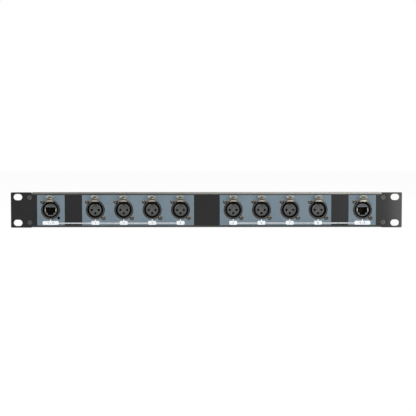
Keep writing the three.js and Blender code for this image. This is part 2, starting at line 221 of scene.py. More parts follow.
def ease_edges(piece, width, steps=2, sharp=35):
    """Breaks the sharp edges and shades the curved faces smooth."""
    shape = opened(piece.data)
    bmesh.ops.remove_doubles(shape, verts=shape.verts, dist=0.0005 * MM)
    flat = math.radians(0.5)
    bmesh.ops.dissolve_limit(shape, angle_limit=flat, verts=shape.verts, edges=shape.edges)
    put_back(shape, piece.data)
    if width:
        rounding = piece.modifiers.new("Edges", "BEVEL")
        rounding.width = width * MM
        rounding.segments = steps
        rounding.limit_method = "ANGLE"
        rounding.angle_limit = math.radians(sharp)
        settle(piece)
    for polygon in piece.data.polygons:
        polygon.use_smooth = True
    piece.data.set_sharp_from_angle(angle=math.radians(sharp))
    shading = piece.modifiers.new("Shading", "WEIGHTED_NORMAL")
    shading.keep_sharp = True
    settle(piece)
    return piece


def colour(red, green, blue):
    """A colour as a screen shows it, 0 to 255, turned into light."""
    channels = []
    for value in (red, green, blue):
        share = value / 255
        channels.append(share / 12.92 if share <= 0.04045 else ((share + 0.055) / 1.055) ** 2.4)
    return (*channels, 1)


class Shade:
    """A socket of a shader's node tree. Sums written with it add Math nodes to the tree."""

    def __init__(self, tree, socket=None):
        self.tree = tree
        self.socket = socket

    def node(self, kind, settings=(), inputs=(), output=0):
        made = self.tree.nodes.new("ShaderNode" + kind)
        for name, value in dict(settings).items():
            setattr(made, name, value)
        for name, value in dict(inputs).items():
            if isinstance(value, Shade):
                self.tree.links.new(value.socket, made.inputs[name])
            else:
                made.inputs[name].default_value = value
        if made.outputs:
            return Shade(self.tree, made.outputs[output])

    def maths(self, operation, *values):
        return self.node("Math", {"operation": operation}, enumerate(values))

    def __add__(self, other):
        return self.maths("ADD", self, other)

    def __rsub__(self, other):
        return self.maths("SUBTRACT", other, self)

    def __mul__(self, other):
        return self.maths("MULTIPLY", self, other)

    __radd__ = __add__
    __rmul__ = __mul__

    def vectors(self, operation, first, second, output=0):
        return self.node("VectorMath", {"operation": operation}, {0: first, 1: second}, output)

    def place(self):
        return self.node("TexCoord", output="Object")

    def grain(self, size, detail=3.0, squeeze=None):
        """Noise from 0 to 1 with grains about size millimetres across, longer where squeezed."""
        place = self.vectors("MULTIPLY", self.place(), squeeze) if squeeze else self.place()
        inputs = {"Vector": place, "Scale": 1 / (size * MM), "Detail": detail}
        return self.node("TexNoise", inputs=inputs)

    def spread(self, low, high):
        """The value brought from 0 to 1 between low and high."""
        inputs = {"Value": self, "From Min": low, "From Max": high}
        return self.node("MapRange", {"interpolation_type": "SMOOTHSTEP"}, inputs)

    def patches(self, size, detail=3.0, low=0.3, high=0.7):
        """Soft patches from 0 to 1, about size millimetres across."""
        return self.grain(size, detail).spread(low, high)

    def blend(self, first, second):
        """The first colour where this value is 0 and the second where it is 1."""
        first, second = (tone if isinstance(tone, Shade) else colour(*tone) for tone in (first, second))
        return self.node("Mix", {"data_type": "RGBA"}, {"Factor": self, 6: first, 7: second}, output=2)

    def rise(self, axis, low, high, mirrored=False):
        """Goes from 0 to 1 between two places on an axis in millimetres, or on both its halves."""
        where = self.node("SeparateXYZ", inputs={0: self.place()}, output=axis)
        if mirrored:
            where = self.maths("ABSOLUTE", where)
        return where.spread(low * MM, high * MM)

    def reach(self, x, z, half_width, half_height):
        """How far a point is from a middle in the panel's plane, as a share of an oval's half sizes."""
        shares = [1 / (half_width * MM), 0, 1 / (half_height * MM)]
        offset = self.vectors("SUBTRACT", self.place(), (x * MM, 0, z * MM))
        scaled = self.vectors("MULTIPLY", offset, shares)
        return self.node("VectorMath", {"operation": "LENGTH"}, {0: scaled}, output="Value")

    def edges(self, radius):
        """Near 1 on the outer edges of a piece and 0 on its faces."""
        rounded = self.node("Bevel", {"samples": 4}, {"Radius": radius * MM})
        straight = self.node("NewGeometry", output="Normal")
        likeness = self.vectors("DOT_PRODUCT", rounded, straight, "Value")
        return (1 - likeness).spread(0.005, 0.15)


def cleared(owner):
    """The node tree of a material or a world, empty."""
    owner.use_nodes = True
    owner.node_tree.nodes.clear()
    return Shade(owner.node_tree)


def finish(coat):
    """Makes the material whose shader's inputs coat gives. Relief is its bumps' height and depth."""
    material = bpy.data.materials.new(coat.__name__)
    surface = cleared(material)
    inputs = coat(surface)
    height, depth = inputs.pop("Relief")
    inputs["Normal"] = surface.node("Bump", inputs={"Height": height, "Distance": depth * MM})
    shader = surface.node("BsdfPrincipled", inputs=inputs)
    surface.node("OutputMaterial", inputs={"Surface": shader})
    return material


def dress(piece, material, nodes=(), body="chassis"):
    """Gives a piece its finish and its body, and hides the CAD nodes that it stands for."""
    piece.data.materials.clear()
    piece.data.materials.append(material)
    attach(piece, body)
    if nodes:
        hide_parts(*nodes)


def fold_section():
    """A long edge's section in Y and Z, from the web's rear face round the bend to its front face."""
    bend_end = panel_front + bend_radius
    section = arc(bend_end, bend_start, bend_radius - sheet, 180, 90)
    section += [(panel_high.y, body_half_height - sheet), (panel_high.y, body_half_height)]
    return section + arc(bend_end, bend_start, bend_radius, 90, 180)


def fold_edges(piece):
    """Carries the flat sheet on round the bends into the two flanges."""
    shape = opened(piece.data)
    joints = []
    for face in shape.faces:
        centre = face.calc_center_median() / MM
        if abs(centre.x) < body_half_width and abs(abs(centre.z) - bend_start) < 0.001:
            joints.append(face)
    bmesh.ops.delete(shape, geom=joints, context="FACES_ONLY")
    for side in sides.values():
        ends = []
        for x in (-body_half_width, body_half_width):
            ends.append([shape.verts.new((x * MM, y * MM, side * z * MM)) for y, z in fold_section()])
        for i in range(len(ends[0]) - 1):
            shape.faces.new((ends[0][i], ends[0][i + 1], ends[1][i + 1], ends[1][i]))
        for end in ends:
            shape.faces.new(end)
    weld(shape)
    put_back(shape, piece.data)


def slot_outline(x, z):
    end = slot_height / 2
    reach = slot_length / 2 - end
    return arc(x + reach, z, end, -90, 90, 24) + arc(x - reach, z, end, 90, 270, 24)


def screw_seat(x, z):
    """The cone that a countersunk screw's head lies in, to cut out of the panel."""
    rim = cover_screw_head + seat_play
    start = panel_front - overcut
    return turned("screw_seat", [(0, start), (rim + overcut, start), (0, panel_front + rim)], 32, x, z)


def receptacle_holes(name, play=0.0):
    """The outlines of a receptacle's hole and of its two screws' holes."""
    outlines = [circle(centres[name], 0, receptacle_hole + play, 80)]
    for x, z in screw_corners.values():
        outlines.append(circle(centres[name] + x, z, screw_hole + play, 24))
    return outlines


quarter = arc(panel_high.x - panel_corner, panel_high.z - panel_corner, panel_corner, 0, 90, 6)
quarter += [(cut_end, panel_high.z), (cut_end, bend_start), (body_half_width, bend_start)]
outlines = [all_round(quarter)]
seats = []
for side, level in quarters:
    x, z = side * cover_screw.x, level * cover_screw.z
    outlines.append(slot_outline(side * slot_x, level * slot_z))
    outlines.append(circle(x, z, screw_hole, 24))
    seats.append(screw_seat(x, z))
for name in receptacles:
    outlines += receptacle_holes(name)
panel = cut_sheet("folded_front_sheet", outlines, panel_front, 0)
machine(panel, seats)
fold_edges(panel)
ease_edges(panel, panel_edge)


@finish
def black_powder_coat(surface):
    """Black paint with painted light: highlights on the top fold and the right ear's top edge, a floor
    reflection on the bottom fold, a sheen on the right ear.
    """
    on_body = 1 - surface.rise("X", body_half_width, cut_end, mirrored=True)
    on_body = on_body * (1 - surface.rise("Y", 1.5, 6))
    # Painted highlight: the top fold and the right ear's top edge are painted pale grey, brighter to the
    # right, for the light the fold catches from above.
    top_fold = on_body * surface.rise("Z", bend_start + 0.2, bend_start + 1.0)
    ear_edge = surface.rise("X", body_half_width, cut_end) * surface.rise("Z", 21.3, 21.7)
    top_fold = surface.maths("MAXIMUM", top_fold, ear_edge)
    # Painted reflection: the bottom fold is painted dark grey for the white floor that it reflects.
    low_fold = on_body * (1 - surface.rise("Z", -bend_start - 0.8, 0.1 - bend_start))
    cloud = surface.patches(60, 2)
    black = cloud.blend((15, 15, 17), (21, 21, 23))
    # Painted sheen: the right ear is painted lighter for the sheen that the lamp on the right gives it.
    black = surface.rise("X", body_half_width, panel_high.x).blend(black, (62, 62, 61))
    painted_highlight = surface.patches(14, 3, 0.2, 0.8).blend((80, 79, 75), (96, 95, 90))
    painted_highlight = surface.rise("X", -body_half_width, body_half_width).blend(painted_highlight, (148, 147, 141))
    dirt_and_painted_light = cloud.blend((52, 52, 50), (64, 64, 61))
    return {
        "Base Color": top_fold.blend(low_fold.blend(black, dirt_and_painted_light), painted_highlight),
        "Roughness": 0.32 + 0.1 * surface.grain(5, 2),
        "Relief": (surface.grain(0.8, 4), 0.03),
        "Specular IOR Level": 0.27,
    }


dress(panel, black_powder_coat, ["front_panel"])

# The print on the panel is screen printed in two inks: blue-grey fields round the receptacles, then
# white lines and tags that show which input feeds which outputs. Its figures are blue-grey again.
ink, ink_play = 0.02, 0.1
fields = {"output": (15.95, 153.7), "input": (175.2, 209.0)}
field_low, field_high = -19.0, 18.35
line_low, line_high = -17.1, -15.6
tag_middle, tag_height, tag_corner = -15.95, 4.75, 1.5
output_tag, input_tag = 9.9, 19.8
tick_width, tick_top = 1.1, -11.6
figure_height, letter_size = 2.9, 1.38
tag_texts = dict(zip(receptacles, (*"12345678", "1 - 4", "5 - 8")))


def rectangle(left, right, low, high):
    return [(left, low), (right, low), (right, high), (left, high)]


def rounded_outline(half_width, half_height, radius):
    return all_round(arc(half_width - radius, half_height - radius, radius, 0, 90, 6))


def printed(name, outlines, layers):
    """A print on the panel, as many coats of ink thick as there are layers under its face."""
    return cut_sheet(name, outlines, panel_front - ink * layers, panel_front + ink / 2)


def figures(name, text, x, z, height, front, depth):
    """Figures as a closed mesh that stands out to the front."""
    writing = bpy.data.curves.new(name, "FONT")
    writing.body = text
    writing.size = height * letter_size * MM
    writing.align_x = "CENTER"
    writing.align_y = "CENTER"
    writing.extrude = depth / 2 * MM
    writing.resolution_u = 6
    return stood_up(name, writing, x, front + depth / 2, z)


def joined(pieces):
    """Several pieces' meshes as one piece, the first."""
    shape = bmesh.new()
    for piece in pieces:
        shape.from_mesh(piece.data)
    put_back(shape, pieces[0].data)
    for piece in pieces[1:]:
        bpy.data.objects.remove(piece)
    return pieces[0]


@finish
def blue_grey_ink(surface):
    return {
        "Base Color": surface.patches(35, 3, 0.25, 0.75).blend((104, 119, 129), (110, 125, 134)),
        "Roughness": 0.5 + 0.1 * surface.grain(4, 2),
        "Relief": (surface.grain(0.8, 4), 0.025),
        "Specular IOR Level": 0.2,
    }


@finish
def white_ink(surface):
    return {
        "Base Color": surface.patches(10).blend((228, 231, 234), (235, 238, 240)),
        "Roughness": 0.45 + 0.1 * surface.grain(3, 2),
        "Relief": (surface.grain(0.8, 4), 0.02),
    }


@finish
def thin_white_ink(surface):
    return {
        "Base Color": surface.patches(3, 4, 0.35).blend((196, 201, 204), (178, 184, 188)),
        "Roughness": 0.5 + 0.1 * surface.grain(2, 2),
        "Relief": (surface.grain(0.8, 4), 0.02),
    }


for side_name, side in sides.items():
    group = [name for name in receptacles if side * centres[name] > 0]
    for kind, (inner, outer) in fields.items():
        left, right = sorted((side * inner, side * outer))
        outlines = [rectangle(left, right, field_low, field_high)]
        for name in group:
            if name.startswith(kind):
                outlines += receptacle_holes(name, ink_play)
        dress(printed(f"{kind}_field_{side_name}", outlines, 1), blue_grey_ink)
    ends = sorted(centres[name] for name in group)
    outline = rectangle(ends[0], ends[-1], line_low, line_high)
    dress(printed(f"white_line_{side_name}", [outline], 1.5), thin_white_ink)
    marks = []
    for name in group:
        x, half = centres[name], (input_tag if name in inputs else output_tag) / 2
        outline = [(x + a, tag_middle + b) for a, b in rounded_outline(half, tag_height / 2, tag_corner)]
        marks.append(printed(f"white_tags_{side_name}", [outline], 2))
        left, right, tag_top = x - tick_width / 2, x + tick_width / 2, tag_middle + tag_height / 2
        marks.append(printed("tick", [rectangle(left, right, tag_top - 1, tick_top)], 1.5))
        front = panel_front - 2.5 * ink
        number = figures(f"{name}_figure", tag_texts[name], x, tag_middle, figure_height, front, ink)
        dress(number, blue_grey_ink)
    dress(joined(marks), white_ink)

# The rear cover is a tray folded from thinner steel, open at the front. Its side tabs lie behind
# the ears, and it has a finer, more matt black powder coat than the panel. It isn't welded, so a
# hairline seam runs along each corner where the top and bottom meet the side walls.
cover_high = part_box("rear_cover")[1] / MM
cover_sheet, cover_bend = 1.5, 2.0
cover_front = 1.2
cover_wall = body_half_width - 2.0
tab_half_height = bend_start - 0.3
seam_width, seam_depth = 0.25, 0.5


def skin(name, rings):
    """A closed piece through rings of as many points each, capped at both ends."""
    shape = bmesh.new()
    corners = [[shape.verts.new(point) for point in ring] for ring in rings]
    for ring, following in zip(corners, corners[1:]):
        for i in range(len(ring)):
            j = (i + 1) % len(ring)
            shape.faces.new((ring[i], ring[j], following[j], following[i]))
    shape.faces.new(corners[0])
    shape.faces.new(corners[-1])
    return from_bmesh(name, shape)


def swept(name, outline, start, end, axis="y", taper=1.0):
    """A flat outline carried straight along an axis. Its points lie in the other two axes."""
    place = "xyz".index(axis)
    rings = []
    for level, scale in ((start, 1.0), (end, taper)):
        points = [(a * scale, b * scale) for a, b in outline]
        rings.append([(*point[:place], level, *point[place:]) for point in points])
    return skin(name, rings)


def tray_form(name, front, inset=0.0):
    """A box open to the front, with its back rounded into its top, its bottom and its sides."""
    half_width, half_height = cover_wall - inset, cover_high.z - inset
    rear, radius = cover_high.y - inset, cover_bend - inset

    def rounded_back(half):
        points = [(front, -half)] + arc(rear - radius, radius - half, radius, -90, 0, 8)
        return points + arc(rear - radius, half - radius, radius, 0, 90, 8) + [(front, half)]

    upright = swept(name, rounded_back(half_height), -half_width, half_width, "x")
    plan = [(x, y) for y, x in rounded_back(half_width)]
    return machine(upright, [swept("plan", plan, -half_height, half_height, "z")], "INTERSECT")


def side_tab(side):
    """A side wall's front end, bent outwards to lie behind the ear."""
    inside = cover_wall - cover_sheet
    bend_x = inside + cover_bend
    end = cover_bend + 2
    section = [(inside, end)] + arc(bend_x, cover_bend, cover_bend, 180, 270, 8)
    section += [(cover_high.x, 0), (cover_high.x, cover_sheet)]
    section += arc(bend_x, cover_bend, cover_bend - cover_sheet, 270, 180, 8) + [(cover_wall, end)]
    outline = [(side * x, y) for x, y in section]
    return swept("tab", outline, -tab_half_height, tab_half_height, "z")


def seam(side, level):
    x = side * (cover_wall - cover_sheet)
    left, right = x - seam_width / 2, x + seam_width / 2
    low, high = sorted((level * (cover_high.z - seam_depth), level * (cover_high.z + overcut)))
    front, rear = cover_front - overcut, cover_high.y - cover_bend
    return swept("seam", rectangle(left, right, low, high), front, rear)


cover = tray_form("rear_tray", cover_front)
machine(cover, [tray_form("hollow", cover_front - overcut, cover_sheet)])
machine(cover, [side_tab(side) for side in sides.values()], "UNION")
cuts = []
for side, level in quarters:
    outline = circle(side * cover_screw.x, level * cover_screw.z, screw_hole, 24)
    cuts.append(swept("screw_hole", outline, -overcut, cover_sheet + overcut))
    cuts.append(seam(side, level))
machine(cover, cuts)
ease_edges(cover, 0.15)


@finish
def matt_powder_coat(surface):
    return {
        "Base Color": surface.patches(70, 2).blend((30, 30, 31), (37, 37, 38)),
        "Roughness": 0.55 + 0.12 * surface.grain(6, 2),
        "Relief": (surface.grain(0.6, 5), 0.035),
        "Specular IOR Level": 0.4,
    }


dress(cover, matt_powder_coat, ["rear_cover"])

# Four rivet nuts of zinc plated steel are pressed into the cover's tabs. Each has a thin flange in
# front and a round barrel behind, and takes one of the cover's screws.
nut_radius, nut_length = 3.2, 3.0
nut_bore, nut_chamfer = 1.65, 0.3
nut_flange, nut_sunk = 0.8, 0.2
nut_rear = cover_sheet + nut_length
cover_screws = {}
for side_name, side in sides.items():
    for level_name, level in (("upper", 1), ("lower", -1)):
        cover_screws[f"{side_name} {level_name}"] = (side * cover_screw.x, level * cover_screw.z)


def rod(name, radius, front, rear, steps=64, x=0.0, z=0.0):
    return turned(name, [(0, front), (radius, front), (radius, rear), (0, rear)], steps, x, z)


def set_out(part, places, piece_name, material, node="", body="chassis"):
    """Sets a dressed copy of a part at each place, named with the place's words, and drops the part."""
    for words, (x, z) in places.items():
        words = words.split()
        piece = new_piece(piece_name.format(*words), part.data)
        piece.location = (x * MM, 0, z * MM)
        nodes = [node.format(*words)] if node else []
        dress(piece, material, nodes, body.format(*words))
    bpy.data.objects.remove(part)


nut = turned("rivet_nut", [
    (0, cover_sheet - nut_sunk),
    (nut_radius, cover_sheet - nut_sunk),
    (nut_radius, cover_sheet + nut_flange),
    (nut_radius - nut_chamfer, cover_sheet + nut_flange + nut_chamfer),
    (nut_radius - nut_chamfer, nut_rear - nut_chamfer),
    (nut_radius - 2 * nut_chamfer, nut_rear),
    (0, nut_rear),
], 40)
machine(nut, [rod("bore", nut_bore, 0, nut_rear + overcut, 32)])
ease_edges(nut, 0.08)


@finish
def zinc_plate(surface):
    mottle = surface.grain(1.5, 4)
    return {
        "Base Color": mottle.spread(0.3, 0.75).blend((150, 150, 146), (178, 178, 172)),
        "Metallic": 1.0,
        "Roughness": 0.32 + 0.2 * mottle,
        "Relief": (surface.grain(0.4), 0.01),
    }


set_out(nut, cover_screws, "rivet_nut_{}_{}", zinc_plate)

# Countersunk screws of black zinc plated steel go through the ears' inner ends into the rivet nuts.
# They lie flush with the paint and have a cross recess. Their edges are painted paler, partly
# scuffed by the driver and partly a painted highlight.
cover_screw_radius, cover_screw_rim = 1.45, 0.15
cover_screw_front = panel_front + 0.1
recess_reach, recess_width, recess_depth, recess_taper = 1.55, 0.62, 1.2, 0.45
recess_start = 0.4


def cross_recess(front):
    """A tapering cross, to cut out of a screw's head."""
    half = recess_width / 2
    arm = [(half, half), (recess_reach, half), (recess_reach, -half)]
    outline = []
    for _ in range(4):
        outline += arm
        arm = [(z, -x) for x, z in arm]
    return swept("cross", outline, front - recess_start, front + recess_depth, taper=recess_taper)


flat_screw = turned("flat_screw", [
    (0, cover_screw_front),
    (cover_screw_head, cover_screw_front),
    (cover_screw_head, cover_screw_front + cover_screw_rim),
    (cover_screw_radius, cover_screw_front + cover_screw_head - cover_screw_radius),
    (cover_screw_radius, nut_rear),
    (0, nut_rear),
], 40)
machine(flat_screw, [cross_recess(cover_screw_front)])
ease_edges(flat_screw, 0.06)


@finish
def black_zinc(surface):
    # Edges painted paler: partly scuffed by the driver, partly a painted highlight.
    edge_wear_and_highlight = surface.edges(0.35) * surface.patches(0.8, 3, 0.3, 0.55)
    return {
        "Base Color": edge_wear_and_highlight.blend((74, 74, 70), (150, 149, 142)),
        "Metallic": 0.8,
        "Roughness": 0.36 + 0.2 * surface.grain(0.7),
        "Relief": (surface.grain(0.3), 0.01),
    }


set_out(flat_screw, cover_screws, "ear_screw_{}_{}", black_zinc, "cover_screw_{}_{}")

# Inside the cover a breakout board stands behind each group. It is green glass-fibre laminate with
# copper tracks under the solder mask, and it is held by the receptacles' solder tails.


@finish
def green_solder_mask(surface):
    weave = surface.node("TexWave", {"bands_direction": "DIAGONAL"}, {
        "Vector": surface.place(), "Scale": 120.0, "Distortion": 6.0, "Detail": 2.0, "Detail Scale": 0.6})
    track = weave.spread(0.55, 0.7)
    return {
        "Base Color": track.blend((16, 66, 42), (34, 104, 62)),
        "Roughness": 0.3 + 0.15 * surface.grain(4, 2),
        "Relief": (track, 0.035),
        "Coat Weight": 0.3,
    }


for side_name in sides:
    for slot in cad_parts[f"breakout_board_{side_name}"].material_slots:
        slot.link = "OBJECT"
        slot.material = green_solder_mask

# Every receptacle has the same moulded housing of black glass-filled plastic: a flange behind the
# panel, a block behind that, and a bevelled ring that stands through the panel's hole. A slot in the
# top of the ring lets the latch through.
ring_radius, ring_bevel, ring_crown = 11.3, 0.8, 0.012
ring_front, housing_rear = (corner.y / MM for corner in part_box("output_1_housing"))
flange_width, flange_height, flange_thickness, flange_corner = 26.0, 30.0, 2.6, 3.0
block_width, block_corner = 25.0, 1.0
bore_radius, mouth_chamfer = 9.85, 0.2
socket_depth, stem_hole = 14.0, 6.3
latch_width, latch_high, latch_lift = 10.4, 11.3, 1.3
latch_rear = 9.5
pivot_y, pivot_z, pivot_radius, pivot_reach = 1.6, 9.6, 0.8, 1.3
gap = 0.3
housing_screw_depth = 8.3
receptacle_places = {name: (centres[name], 0) for name in receptacles}


def chamfered_bore(name, radius, chamfer, front, rear, steps, x=0.0, z=0.0):
    """A round hole with its front edge broken, to cut out of a face."""
    start, flare = front - overcut, radius + chamfer
    profile = [(0, start), (flare, start), (flare, front), (radius, front + chamfer)]
    return turned(name, profile + [(radius, rear), (0, rear)], steps, x, z)


flange = rounded_outline(flange_width / 2, flange_height / 2, flange_corner)
block = rounded_outline(block_width / 2, block_width / 2, block_corner)
bevel = [(ring_radius - ring_bevel + 0.1 * i, ring_front + ring_crown * i**2.1) for i in range(8)]
ring = [(0, ring_front), *bevel, (ring_radius, ring_front + ring_bevel)]
ring += [(ring_radius, flange_thickness), (0, flange_thickness)]
housing = swept("housing", flange, 0, flange_thickness)
machine(housing, [
    swept("block", block, flange_thickness / 2, housing_rear),
    turned("ring", ring, 96),
], "UNION")
slot_side = latch_width / 2 + gap
floor = math.sqrt(bore_radius**2 - slot_side**2) - gap
slot = rectangle(-slot_side, slot_side, floor, latch_high + latch_lift + gap)
pivot = circle(pivot_y, pivot_z, pivot_radius + gap, 24)
pivot_end = latch_width / 2 + pivot_reach + gap
tools = [
    chamfered_bore("mouth", bore_radius, mouth_chamfer, ring_front, socket_depth, 96),
    swept("stem_hole", circle(0, 0, stem_hole, 48), socket_depth - overcut, housing_rear + overcut),
    swept("latch_slot", slot, ring_front - overcut, latch_rear + 2 * gap),
    swept("pivot_hole", pivot, -pivot_end, pivot_end, "x"),
]
for x, z in screw_corners.values():
    tools.append(swept("hole", circle(x, z, screw_hole, 24), -overcut, housing_screw_depth))
machine(housing, tools)
ease_edges(housing, 0.12)


@finish
def glass_filled_plastic(surface):
    """Black plastic, brownish, edges paler from use and a painted highlight, painted lighter low on the
    ring and painted black in the socket for shade.
    """
    # The edges are painted paler, partly from use and partly a painted highlight for the light they catch.
    edge_wear_and_highlight = surface.edges(0.3) * surface.patches(1.2)
    # Painted light: the ring is painted lighter towards its bottom, where its chamfer faces the light from
    # above.
    painted_bottom_light = surface.rise("Z", -10, -2).blend((72, 68, 63), (52, 49, 46))
    wear_and_painted_light = edge_wear_and_highlight.blend(painted_bottom_light, (96, 90, 82))
    # Painted shade: inside the socket the plastic is painted nearly black for the shade that fills it.
    inside = surface.rise("Y", ring_front + 0.3, ring_front + 2.5)
    return {
        "Base Color": inside.blend(wear_and_painted_light, (10, 10, 10)),
        "Roughness": 0.38 + 0.16 * surface.grain(1.5),
        "Relief": (surface.grain(0.35, 4), 0.012),
        "Specular IOR Level": 0.35,
    }


set_out(
    housing, receptacle_places, "{}_shell", glass_filled_plastic, "{}_housing")

# In each output stands a dark grey plastic insert with three contact sockets and a keyway on top.
# The figures beside the sockets are moulded with it, and solder tails come out at its back.
insert_radius, insert_chamfer = 7.6, 0.5
insert_front, tail_rear = (corner.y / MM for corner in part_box("output_1_insert"))
stem_radius, tail_radius = 6.0, 0.6
key_width, key_depth, key_length = 3.1, 1.1, 3.0
rib_radius, rib_width, rib_depth = 5.75, 0.25, 0.15
contact_circle, contact_hole, contact_depth, contact_chamfer = 4.08, 1.35, 12.0, 0.25
contact_places = {"2": (-contact_circle, 0), "1": (contact_circle, 0), "3": (0, -contact_circle)}
mark_places = {"2": (-3.9, 3.6), "1": (3.9, 3.6), "3": (3.9, -3.8)}
mark_height, mark_rise, mark_depth = 1.5, 0.1, 0.3
sleeve_radius, sleeve_bore, sleeve_recess = 1.33, 1.05, 8.0
output_places = {name: receptacle_places[name] for name in outputs}


def core(name, radius):
    """The moulded core of a receptacle: a chamfered front and a narrower stem behind."""
    return turned(name, [
        (0, insert_front),
        (radius - insert_chamfer, insert_front),
        (radius, insert_front + insert_chamfer),
        (radius, socket_depth),
        (stem_radius, socket_depth),
        (stem_radius, housing_rear),
        (0, housing_rear),
    ], 96)


def tails(places):
    front = housing_rear - 1
    return [swept("tail", circle(x, z, tail_radius, 16), front, tail_rear) for x, z in places]


insert = core("xlr_core", insert_radius)
front, rear = insert_front - overcut, insert_front + contact_depth
key = rectangle(-key_width / 2, key_width / 2, insert_radius - key_depth, insert_radius + overcut)
groove = rod("groove", rib_radius, front, insert_front + rib_depth)
machine(groove, [rod("island", rib_radius - rib_width, front - overcut, insert_front + overcut)])
cuts = [swept("key", key, front, insert_front + key_length), groove]
for x, z in contact_places.values():
    cuts.append(chamfered_bore("socket", contact_hole, contact_chamfer, insert_front, rear, 40, x, z))
machine(insert, cuts)
ease_edges(insert, 0.1)
marks = []
for text, (x, z) in mark_places.items():
    marks.append(figures("mark", text, x, z, mark_height, insert_front - mark_rise, mark_depth))
joined([insert, *marks])
sleeves = []
front, rear = insert_front + sleeve_recess, insert_front + contact_depth - 0.5
for x, z in contact_places.values():
    tube = rod("sleeve", sleeve_radius, front, rear, 40, x, z)
    bore = rod("bore", sleeve_bore, front - overcut, rear - overcut, 40, x, z)
    sleeves.append(machine(tube, [bore]))
contacts = joined(sleeves + tails(contact_places.values()))
ease_edges(contacts, 0.05)


@finish
def dark_grey_plastic(surface):
    """Dark grey on the face, with a painted highlight on its upper rim and painted shade, black, down its
    sides and in its sockets.
    """
    face = surface.patches(6).blend((57, 58, 58), (66, 67, 67))
    # Painted highlight: the upper rim is painted paler for the light that falls on it from above.
    rim = surface.reach(0, 0, insert_radius, insert_radius).spread(0.8, 0.95)
    face = (rim * surface.rise("Z", 0, 4)).blend(face, (92, 92, 90))
    # Painted shade: down the sides and inside the sockets the plastic is painted black.
    down = surface.rise("Y", insert_front + 0.3, insert_front + 1.0)
    return {
        "Base Color": down.blend(face, (10, 10, 10)),
        "Roughness": 0.5 + 0.12 * surface.grain(1.5),
        "Relief": (surface.grain(0.3, 4), 0.01),
    }


@finish
def tinned_bronze_painted_dark(surface):
    # Painted shade: the bronze is painted this dark for the shade deep inside the sockets.
    mottle = surface.grain(0.8)
    return {
        "Base Color": mottle.spread(0.3, 0.7).blend((40, 36, 28), (56, 51, 40)),
        "Metallic": 1.0,
        "Roughness": 0.3 + 0.2 * mottle,
        "Relief": (surface.grain(0.3), 0.008),
    }


set_out(insert, output_places, "{}_core", dark_grey_plastic, "{}_insert")
set_out(contacts, output_places, "{}_contacts", tinned_bronze_painted_dark)

# Each input's core is a paler grey moulding with a stepped port for an RJ45 plug. Eight gold plated
# contact wires slope into the port, and a groove crosses the face above it.
jack_radius = 7.95
port_half, port_top, port_bottom = 5.95, 3.4, 3.5
port_notch_half, port_notch = 3.5, 2.7
port_rear = insert_front + 10.8
spring_half, spring_low, spring_high = 7.2, -2.6, 1.8
groove_low, groove_high, groove_depth = 5.25, 5.95, 0.35
liner_wall, liner_recess = 0.25, 0.35
liner_rear = port_rear - 0.85
wire_pitch, wire_radius, wire_bend = 1.02, 0.12, 6.8
tail_pitch, tail_rows = 2.04, 2.54
input_places = {name: receptacle_places[name] for name in inputs}


def port_outline(wall=0.0):
    """The stepped opening for a plug and its catch, made smaller all round by a wall."""
    step, floor = -port_bottom + wall, -port_bottom - port_notch + wall
    right = [(port_notch_half - wall, floor), (port_notch_half - wall, step)]
    right += [(port_half - wall, step), (port_half - wall, port_top - wall)]
    return both_halves(right)


def wire(x):
    """A contact wire that comes down from the port's roof towards the back."""
    roof = port_top - liner_wall
    bend = insert_front + wire_bend
    route = [(bend - 0.6, roof + 0.05), (bend, roof - 0.4), (liner_rear - 0.2, roof - 2.6)]
    rings = []
    for y, z in route:
        rings.append([(x + a, y, z + b) for a, b in circle(0, 0, wire_radius, 10)])
    return skin("wire", rings)


jack = core("rj45_core", jack_radius)
front = insert_front - overcut
pocket = rectangle(-spring_half - gap, spring_half + gap, spring_low - gap, spring_high + gap)
groove = rectangle(-jack_radius, jack_radius, groove_low, groove_high)
machine(jack, [
    swept("port", port_outline(), front, port_rear),
    swept("pocket", pocket, front, port_rear + gap),
    swept("groove", groove, front, insert_front + groove_depth),
])
ease_edges(jack, 0.15)
# Painted shade: a thin black liner lines the port, standing in for the shade inside it.
liner = swept("port_liner", port_outline(), insert_front + liner_recess, liner_rear)
machine(liner, [swept("plug_way", port_outline(liner_wall), front, liner_rear - 0.4)])
ease_edges(liner, 0.05)
tail_places = [((i - 1.5) * tail_pitch, z) for i in range(4) for z in (-tail_rows / 2, tail_rows / 2)]
contacts = joined(tails(tail_places) + [wire((i - 3.5) * wire_pitch) for i in range(8)])
ease_edges(contacts, 0)


@finish
def mid_grey_plastic(surface):
    return {
        "Base Color": surface.patches(6).blend((74, 76, 77), (84, 86, 87)),
        "Roughness": 0.42 + 0.12 * surface.grain(1.5),
        "Relief": (surface.grain(0.3, 4), 0.01),
    }


@finish
def black_port_shade(surface):
    # Painted shade: nearly black, for the shade inside the port.
    return {
        "Base Color": surface.patches(2).blend((10, 10, 10), (15, 15, 15)),
        "Roughness": 0.6 + 0.1 * surface.grain(1, 2),
        "Relief": (surface.grain(0.3), 0.008),
        "Specular IOR Level": 0.12,
    }


@finish
def gold_plate(surface):
    mottle = surface.grain(0.6)
    return {
        "Base Color": mottle.spread(0.3, 0.7).blend((178, 142, 70), (204, 168, 92)),
        "Metallic": 1.0,
        "Roughness": 0.25 + 0.15 * mottle,
        "Relief": (surface.grain(0.3), 0.005),
    }


set_out(jack, input_places, "{}_core", mid_grey_plastic, "{}_jack")
set_out(liner, input_places, "{}_liner", black_port_shade)
set_out(contacts, input_places, "{}_wires", gold_plate)

